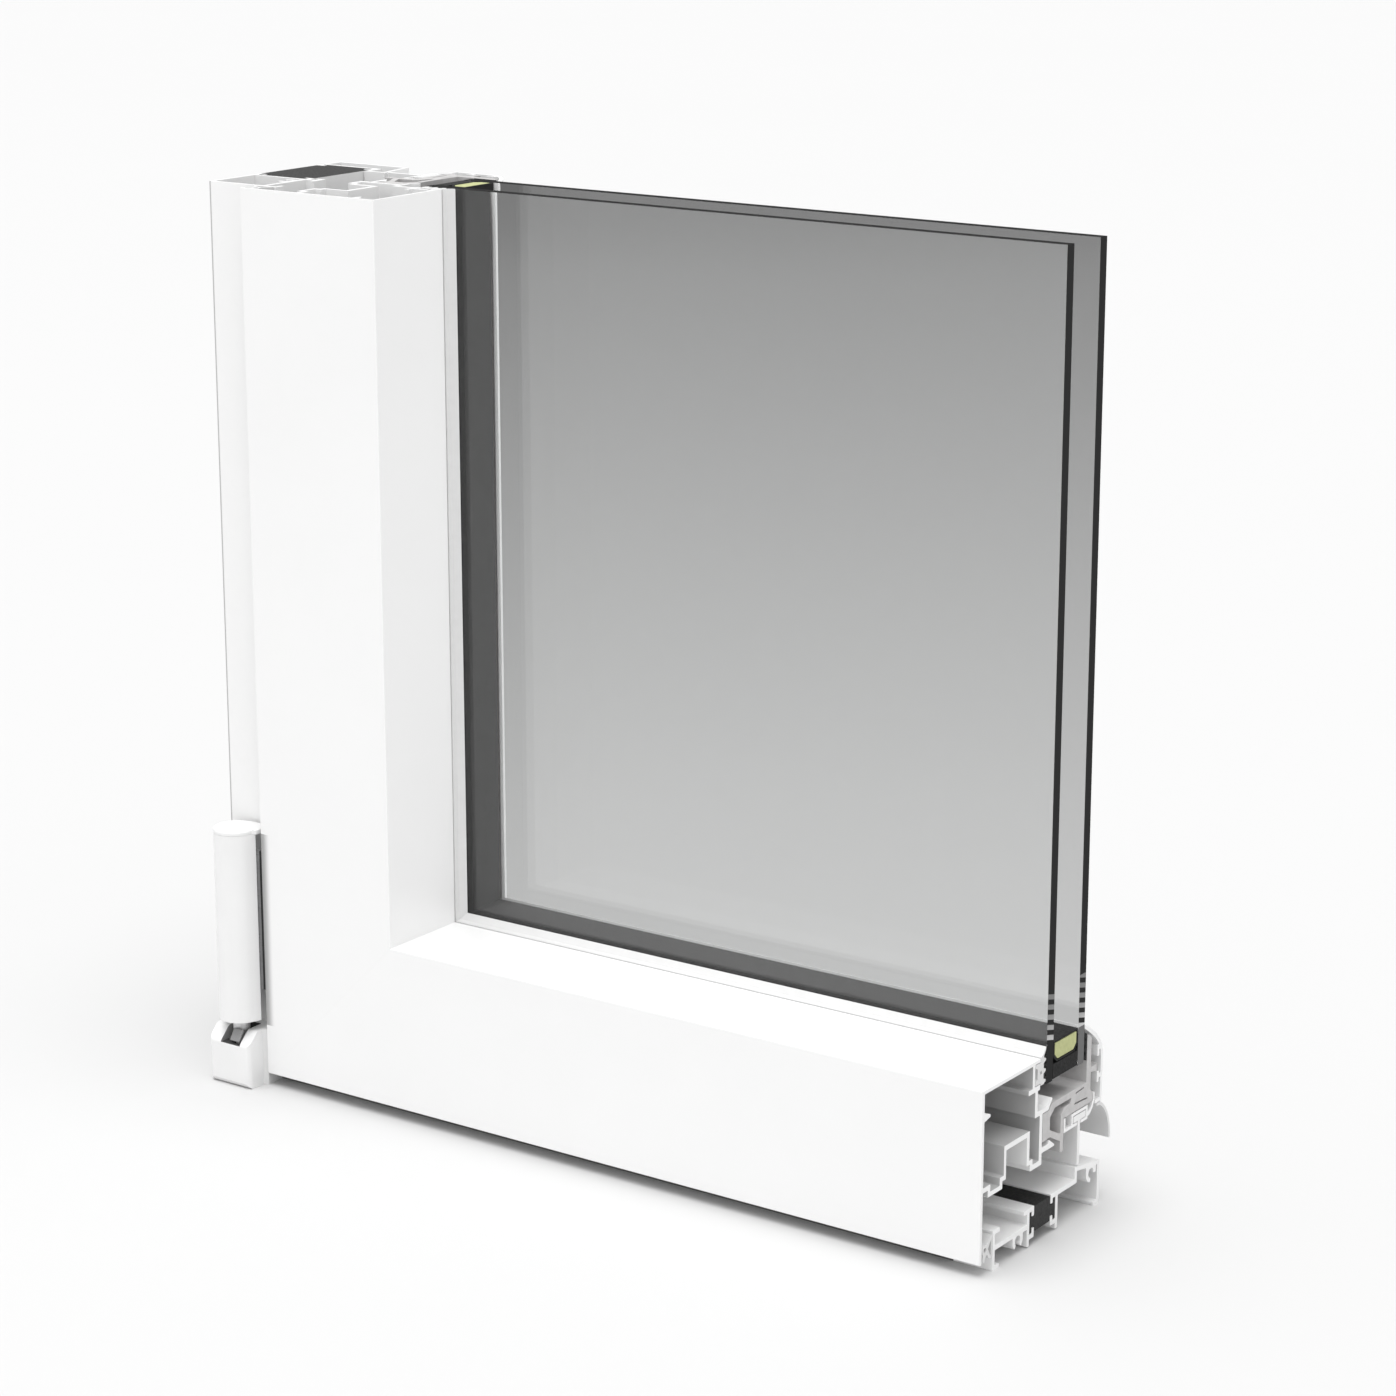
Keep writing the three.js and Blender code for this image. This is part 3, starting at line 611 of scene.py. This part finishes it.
def build_inner_jamb():
    """Room half of the jamb, with a fine line of painted shade along its outer corner."""
    low = box_mm("frame_inner_jamb")[0]
    line = 0.55
    jamb = soften(from_cad("frame_inner_jamb"), 0.25)
    split(jamb, "X", low.x + line)

    def shaded_corner_line(face):
        at = middle(face)
        return at.x < low.x + line - 0.05 and at.y < low.y + 0.2

    # painted shade: a thin strip along the outer corner, half way to dark
    mark(jamb, "shade", shaded_corner_line, 0.5)
    piece(jamb, "frame_inner_jamb")


def build_frame():
    build_inner_sill()
    build_inner_jamb()
    refined("frame_outer_sill", 0.25)
    refined("frame_outer_jamb", 0.25)
    refined("thermal_break_sill", 0.15)
    foam = soften(from_cad("thermal_break_jamb"), 0.15)
    mark(foam, "skin", lambda face: face.normal.x > 0.9 and middle(face).x > 3)
    piece(foam, "thermal_break_jamb")
    refined("frame_corner_key", 0.3)
    for number in (1, 2):
        refined(f"hinge_block_screw_{number}", 0.1)
    build_interior_gasket()


def build_interior_gasket():
    """The soft seal on the frame's leg: bulb, two splayed legs and a toe."""
    y, w = 3.2, 4.2
    toe = arc(2.6, 1.1, 0.75, 175, 350, 10)
    outer = [
        (7.5, 0.4), (7.5, 8), (6.7, 7.8), (5.4, 6.4), *arc(y, w, 1.7, 50, 235, 28),
        *toe, (3.5, 1.7), (4.3, 2.3), (4.9, 1.9), (5.4, 0.9), (6.1, 0.5),
    ]
    hollow = [(5.5, 4.8), (6.2, 5.9), (6.9, 6.5), (6.9, 1.5), (6.5, 1.3), (5.6, 2.9), (5.25, 3.9)]
    bulb = arc(y, w, 0.8, 0, 345, 23)
    loops = [outer, bulb, hollow]
    below = box_mm("interior_gasket_jamb_lower")[1].z
    above = box_mm("interior_gasket_jamb")[0].z
    runs = {
        "interior_gasket_sill": along_rail(),
        "interior_gasket_jamb_lower": along_stile(end=below),
        "interior_gasket_jamb": along_stile(start=above),
    }
    for node, ends in runs.items():
        piece(prism(loops, ends), node)


# ---- sash ---------------------------------------------------------------------
SIDES = {"rail": along_rail, "stile": along_stile}


def build_outer_cover():
    """Weather-side shell: one smooth curve over the glass edge, clip rails inside."""
    low, high = box_mm("outer_cover_rail")
    face = high.y
    inside = face - 1.1
    crown = bezier((62.9, 60.4), (69.5, 56.2), (face, 52.8), (face, 46.2), 18)
    under = bezier((inside, 46), (inside - 0.1, 51.6), (68.6, 55.2), (62.9, 58.9), 14)
    clip = [
        (face, low.z), (70.9, low.z), (70.9, 32.1), (inside, 32.1), (inside, 39.3), (72.9, 39.3),
        (72.9, 38), (71.8, 38), (71.8, 41.6), (72.9, 41.6), (72.9, 40.5), (inside, 40.5),
    ]
    hook = [(71.7, 46.9), (71.7, 50.4), (72.8, 50.9), (73.6, 49.2), (72.8, 48.9), (72.8, 46.9)]
    for side, ends in SIDES.items():
        node = f"outer_cover_{side}"
        shell = prism([[*crown, *clip, *under]], ends())
        rail = prism([hook], ends())
        piece(soften(boolean(shell, "UNION", rail), 0.2), node)


def build_rain_drip():
    """Blade of even thickness on a quarter-turn curve, with a round tip, painted a little darker all
    over as shade.
    """
    high = box_mm("rain_drip")[1]
    blade = 1.0
    tip = high.y - blade / 2
    spine = bezier((74.7, 29.9), (78.6, 27.4), (tip, 22.8), (tip, 16.5), 20)
    outer, inner = [], []
    for i, (y, w) in enumerate(spine):
        before, after = spine[max(i - 1, 0)], spine[min(i + 1, len(spine) - 1)]
        along = (Vector(after) - Vector(before)).normalized() * blade / 2
        outer.append((y - along.y, w + along.x))
        inner.append((y + along.y, w - along.x))
    end = arc(tip, 16.5, blade / 2, 0, -180, 8)[1:-1]
    section = [(72.2, 30.6), (74.6, 30.6), *outer, *end, *inner[::-1], (72.2, 29.8)]
    drip = prism([section], along_rail())
    # painted shade: the whole drip mixed a fifth of the way towards dark
    mark(drip, "shade", lambda face: True, 0.2)
    piece(drip, "rain_drip")


def build_glass():
    """The two panes. They cast no shadow, so the light reaches what is behind them."""
    def cut_edge(face):
        return all(at_cut(v) for v in face.verts) and abs(face.normal.y) < 0.5

    for node in ("glass_inner_pane", "glass_outer_pane"):
        bm = soften(from_cad(node), 0.25, segments=1)
        mark(bm, "cut", cut_edge)
        pane = piece(bm, node)
        pane.visible_shadow = False
        pane.visible_diffuse = False
        pane.visible_glossy = False


def build_sash():
    for side in SIDES:
        # the rails' closed chambers get painted shade
        chambers = "X" if side == "rail" else None
        refined(f"sash_{side}", 0.3, chambers=chambers, segments=3)
        refined(f"glass_carrier_{side}", 0.15)
        refined(f"weather_bar_{side}", 0.12)
        refined(f"seal_fin_{side}", 0.2)
        refined(f"inner_glazing_gasket_{side}", 0.1)
        refined(f"outer_glazing_gasket_{side}", 0.1)
        refined(f"spacer_{side}", 0.1)
        refined(f"desiccant_{side}", 0.2)
        refined(f"edge_sealant_{side}", 0.2)
        refined(f"setting_block_{side}", 0.3)
    refined("sash_corner_cleat", 0.4)
    build_outer_cover()
    build_rain_drip()
    build_glass()


# ---- hinge --------------------------------------------------------------------
cap_low, cap_high = box_mm("hinge_cap")
CAP_R = 7.8
AXIS = Vector((cap_low.x + CAP_R, cap_low.y + CAP_R))


def bore(place, r, reach, lean, segments):
    """Round cutter that reaches both ways from a place, leant over by angles about X, Y and Z."""
    cutter = turned([(0, -reach), (r, -reach), (r, reach), (0, reach)], 0, 0, segments)
    cutter.transform(Matrix.Translation(place) @ Euler(lean).to_matrix().to_4x4())
    return cutter


def screw_places(name):
    """The middles of a pair of screws."""
    boxes = [box_mm(f"{name}_{number}") for number in (1, 2)]
    return [(low + high) / 2 for low, high in boxes]


def build_block():
    """Lower block: round in plan, bevelled at the front top, slotted for the pin, with painted shade
    in the slot and on its underside.
    """
    low, high = box_mm("hinge_block")
    front, back, left, right, top = low.y, high.y, low.x, high.x, high.z
    plan = [
        (left, back), *arc(left + 2, front + 2, 2, 180, 270, 12),
        *arc(right - 2, front + 2, 2, 270, 360, 12), (right, -0.6), (-0.15, 0.5), (-0.15, back),
    ]
    bevel = 4.8
    profile = [
        (back, BASE_Z), *arc(front + 2.4, BASE_Z + 2.4, 2.4, -90, -180, 12),
        *arc(front + 2.4, top - bevel - 1, 2.4, 180, 135, 6),
        *arc(front + bevel + 1, top - 2.4, 2.4, 135, 90, 6), (back, top),
    ]
    upright = prism([plan], along_z(BASE_Z, top))
    sideways = prism([profile], ((lambda y, z: (left - 1, y, z)), (lambda y, z: (1, y, z))))
    body = boolean(upright, "INTERSECT", sideways)
    half, floor, slot_back = 4.4, 10.9, 3.8
    x, y = AXIS
    slot_plan = [
        (x - half, front - 2), (x + half, front - 2), (x + half, slot_back), (x - half, slot_back),
    ]
    slot = prism([slot_plan], along_z(floor, top + 2))
    well = turned([(0, -1.8), (4.6, -1.8), (4.6, floor + 0.6), (0, floor + 0.6)], x, y)
    holes = [
        bore((screw.x, 3, screw.z), 1.5, 7, (math.pi / 2, 0, 0), 24)
        for screw in screw_places("hinge_block_screw")
    ]
    body = soften(boolean(body, "DIFFERENCE", slot, well, *holes), 0.35, segments=3, sharper=35)

    def in_slot(face):
        at = middle(face)
        return abs(at.x - x) < half + 0.1 and at.y < slot_back + 0.1 and at.z > floor - 14

    def right_or_back_wall(face):
        return in_slot(face) and (face.normal.x < -0.7 or face.normal.y < -0.7)

    def slot_floor(face):
        return in_slot(face) and face.normal.z > 0.9 and middle(face).z < floor + 0.2

    def left_wall(face):
        return in_slot(face) and face.normal.x > 0.7 and middle(face).z > floor

    # painted shade: the slot's back, right wall and floor nearly black, its left wall half dark, the
    # rounding underneath and the strip beside the sash a little darker
    mark(body, "shade", right_or_back_wall, 0.96)
    mark(body, "shade", slot_floor, 0.93)
    mark(body, "shade", left_wall, 0.55)
    mark(body, "shade", lambda face: middle(face).y < front + 0.5, 0)
    mark(body, "shade", lambda face: face.normal.z < -0.3 and middle(face).z < 0, 0.12)
    mark(body, "shade", lambda face: middle(face).x > right + 0.1, 0.14)
    piece(body, "hinge_block", smooth=30)


def build_socket():
    ball_z, ball_r = 3, 3.5
    seat = arc(0, ball_z, ball_r, -90, 0, 16)
    rim = 9.8
    outline = [
        (0, -1.4), (4, -1.4), (4.3, -1.1), (4.3, rim - 0.3), (4, rim),
        (ball_r + 0.3, rim), (ball_r, rim - 0.3),
    ]
    piece(turned([*outline, *seat[::-1]], *AXIS), "hinge_socket")


def build_pin():
    """Ball, neck, round shoulder and the pin that the sash turns on, with a lug before the neck, both
    lug and collar in painted shade.
    """
    ball_r, ball_z, neck, pin, collar = 3.2, 3, 2.2, 3.0, 4.6
    top = box_mm("hinge_pin")[1].z
    profile = [
        *arc(0, ball_z, ball_r, -90, 46, 22), (neck, 6.1), (neck, 14.2),
        *arc(pin - 0.9, 15.5, 0.9, -70, 0, 6), (pin, 18.6), (collar - 0.2, 19), (collar, 19.2),
        (collar, 23.4), (collar - 0.2, 23.6), (pin, 23.6), (pin, top - 1), (pin - 0.3, top - 0.3),
        (pin - 1, top), (0, top),
    ]
    body = turned(profile, *AXIS)
    x, y = AXIS
    left, right, half = x - 0.5, x + 3.7, 2.3
    plan = [(left, -half), (right, -half), (right, half), (left, half)]
    lug = prism([plan], along_z(-0.6, 0.6))
    soften(lug, 0.3, segments=3)
    # painted shade on the lug down in the slot
    mark(lug, "shade", lambda face: True, 0.62)
    lean = Euler((math.radians(59), 0, 0)).to_matrix().to_4x4()
    lug.transform(Matrix.Translation((0, y - 4.3, 14)) @ lean)
    pin_body = boolean(body, "UNION", lug)
    # painted shade on the collar and shoulder under the cover
    mark(pin_body, "shade", lambda face: 18.7 < middle(face).z < 24.5, 0.85)
    piece(pin_body, "hinge_pin")


def build_bush():
    low, high = box_mm("hinge_bush")
    inner_r, outer_r, edge = 3.3, 5.2, 0.3
    profile = [
        (inner_r, low.z), (outer_r - edge, low.z), (outer_r, low.z + edge),
        (outer_r, high.z - edge), (outer_r - edge, high.z), (inner_r, high.z),
    ]
    piece(turned(profile, *AXIS), "hinge_bush")


def build_leaf():
    """Barrel round the pin, and the leaf that runs behind the sash's skin to the clamp, painted dark
    as shade past the sash's edge.
    """
    low, high = box_mm("hinge_leaf")
    barrel_r, bore_r = 5.5, 3.3
    bottom, top = low.z, high.z
    x, y = AXIS
    edge = 0.3
    barrel = turned([
        (bore_r, bottom + edge), (bore_r + edge, bottom),
        (barrel_r - edge, bottom), (barrel_r, bottom + edge),
        (barrel_r, top - edge), (barrel_r - edge, top),
        (bore_r + edge, top), (bore_r, top - edge),
    ], x, y)
    front, back = 1.55, 4.0
    arm_from = high.x - 3
    plan = [
        (x + barrel_r - 1.2, front), (high.x, front), (high.x, high.y), (arm_from, high.y),
        (arm_from, back), (x + barrel_r - 1.6, back),
    ]
    leaf = soften(prism([plan], along_z(bottom + 1, top - 1)), 0.35)
    body = boolean(barrel, "UNION", leaf)
    holes = [
        bore((high.x - 1.5, screw.y, screw.z), 2.2, 6, (0, math.pi / 2, 0), 32)
        for screw in screw_places("hinge_clamp_screw")
    ]
    body = boolean(body, "DIFFERENCE", *holes)
    # painted shade on the part of the leaf seen past the sash's edge
    shaded_from = -2.3
    split(body, "X", shaded_from)
    mark(body, "shade", lambda face: shaded_from < middle(face).x < arm_from, 0.93)
    piece(body, "hinge_leaf")


def build_cover():
    """Cover round the barrel: most of a tube, with a straight lip beside the sash, and painted shade
    on its inner wall.
    """
    low, high = box_mm("hinge_cover")
    x, y = AXIS
    start, end = -18, -225
    lip, outer_r, wall = 3.5, 7.7, 1.2

    def side(r):
        curve = arc(x, y, r, start, end, 72)
        away = math.radians(start)
        first = (curve[0][0] - lip * math.sin(away), curve[0][1] + lip * math.cos(away))
        return [first, *curve]

    plan = [*side(outer_r), *side(outer_r - wall)[::-1]]
    cover = soften(prism([plan], along_z(low.z, high.z)), 0.2, sharper=40)

    def inside(face):
        at = middle(face)
        return math.hypot(at.x - x, at.y - y) < outer_r - wall + 0.15 and abs(face.normal.z) < 0.5

    # painted shade on the cover's inner wall
    mark(cover, "shade", inside, 0.9)
    piece(cover, "hinge_cover")


def build_cap():
    """Slightly domed cap over the cover, with a square corner against the sash and a spigot below in
    painted shade.
    """
    x, y = AXIS
    cover_top = box_mm("hinge_cover")[1].z
    top, under, spigot = cap_high.z, cover_top + SHUT, 5.6
    edge, dome = 0.5, 0.15
    profile = [
        (0, cap_low.z), (spigot - 0.3, cap_low.z), (spigot, cap_low.z + 0.3), (spigot, under),
        (CAP_R - 0.15, under), (CAP_R, under + 0.15),
        *arc(CAP_R - edge, top - dome - edge, edge, 0, 80, 6),
        (CAP_R * 0.5, top - dome * 0.3), (0, top),
    ]
    body = turned(profile, x, y, 96)
    right, back = cap_high.x, cap_high.y
    plan = [(x, y), (right, y), *arc(right - 1, back - 1, 1, 0, 90, 6), (x, back)]
    corner = soften(prism([plan], along_z(under, top - dome)), 0.3)
    cap = boolean(body, "UNION", corner)
    # painted shade on the spigot below the cover's top
    mark(cap, "shade", lambda face: middle(face).z < cover_top, 0.9)
    piece(cap, "hinge_cap")


def build_hinge():
    build_block()
    build_socket()
    build_pin()
    build_bush()
    build_leaf()
    build_cover()
    build_cap()
    refined("hinge_clamp_block", 0.4)
    for number in (1, 2):
        refined(f"hinge_clamp_screw_{number}", 0.15)


build_frame()
build_sash()
build_hinge()


# ---- floor, light and camera --------------------------------------------------
def build_floor():
    size = 12.0
    bm = bmesh.new()
    bmesh.ops.create_grid(bm, x_segments=8, y_segments=8, size=size / 2)
    mesh = bpy.data.meshes.new("floor")
    bm.to_mesh(mesh)
    bm.free()
    floor = bpy.data.objects.new("floor", mesh)
    bpy.context.scene.collection.objects.link(floor)
    floor.location.z = cad_low.z
    paper = Finish("floor", (0.635, 0.635, 0.635), 0.8, Specular_IOR_Level=0.1)
    paper.vary_color(paper.noise(2), 0.998, 1.002)
    mesh.materials.append(MATERIALS["floor"])
    floor.visible_transmission = False


def build_world():
    """White dome, brighter before the window than behind it. The glass refracts a grey sweep."""
    world = bpy.data.worlds.new("studio")
    bpy.context.scene.world = world
    world.use_nodes = True
    nodes, links = world.node_tree.nodes, world.node_tree.links
    place = nodes.new("ShaderNodeTexCoord")
    facing = nodes.new("ShaderNodeVectorMath")
    facing.operation = "DOT_PRODUCT"
    facing.inputs[1].default_value = Vector((0.35, -0.75, 0.45)).normalized()
    links.new(place.outputs["Generated"], facing.inputs[0])
    dimmest, brightest = 0.58, 1.0
    share = map_range(nodes, -1, 1, dimmest, brightest)
    links.new(facing.outputs["Value"], share.inputs["Value"])
    dome = nodes["Background"]
    dome.inputs["Color"].default_value = (1, 1, 1, 1)
    links.new(share.outputs["Result"], dome.inputs["Strength"])
    backdrop = nodes.new("ShaderNodeBackground")
    backdrop.inputs["Color"].default_value = (1, 1, 1, 1)

    heading = nodes.new("ShaderNodeSeparateXYZ")
    links.new(place.outputs["Generated"], heading.inputs["Vector"])
    down = nodes.new("ShaderNodeMath")
    down.operation = "MULTIPLY"
    down.inputs[1].default_value = -1
    links.new(heading.outputs["Z"], down.inputs[0])
    sweep = nodes.new("ShaderNodeValToRGB")
    # how far below the horizon, as a sine, and how bright the sweep is there
    stops = [
        (0.0, 0.08), (0.131, 0.16), (0.146, 0.215), (0.233, 0.39), (0.284, 0.485),
        (0.335, 0.55), (0.6, 0.8), (1.0, 0.95),
    ]
    ramp = sweep.color_ramp
    while len(ramp.elements) < len(stops):
        ramp.elements.new(0.5)
    for element, (position, value) in zip(ramp.elements, stops):
        element.position = position
        element.color = (value, value, value, 1)
    links.new(down.outputs[0], sweep.inputs["Fac"])
    grey = nodes.new("ShaderNodeBackground")
    links.new(sweep.outputs["Color"], grey.inputs["Color"])

    rays = nodes.new("ShaderNodeLightPath")
    around = dome
    for ray, seen in (("Is Camera Ray", backdrop), ("Is Transmission Ray", grey)):
        mix = nodes.new("ShaderNodeMixShader")
        links.new(rays.outputs[ray], mix.inputs["Fac"])
        links.new(around.outputs[0], mix.inputs[1])
        links.new(seen.outputs[0], mix.inputs[2])
        around = mix
    links.new(around.outputs[0], nodes["World Output"].inputs["Surface"])


def build_key():
    """A wide soft light from high above the room side."""
    azimuth, elevation = math.radians(8), math.radians(78)
    level = math.cos(elevation)
    towards = Vector((math.sin(azimuth) * level, -math.cos(azimuth) * level, math.sin(elevation)))
    light = bpy.data.lights.new("key", "SUN")
    light.energy = 2.2
    light.angle = math.radians(50)
    lamp = bpy.data.objects.new("key", light)
    bpy.context.scene.collection.objects.link(lamp)
    lamp.location = towards
    lamp.rotation_euler = (-towards).to_track_quat("-Z", "Y").to_euler()


def build_camera():
    lens, sensor = 94.81, 36.0
    azimuth, elevation = math.radians(35.106), math.radians(14.973)
    from_cut = Vector((0.532336, -0.907986, 0.461844))
    data = bpy.data.cameras.new("camera")
    data.lens = lens
    data.sensor_width = sensor
    data.dof.use_dof = False
    camera = bpy.data.objects.new("camera", data)
    bpy.context.scene.collection.objects.link(camera)
    camera.location = Vector((rail_high.x, CORNER.y, CORNER.z)) + from_cut
    camera.rotation_euler = (math.pi / 2 - elevation, 0, azimuth)
    bpy.context.scene.camera = camera


build_floor()
build_world()
build_key()
build_camera()
bpy.context.scene.view_settings.view_transform = "Standard"
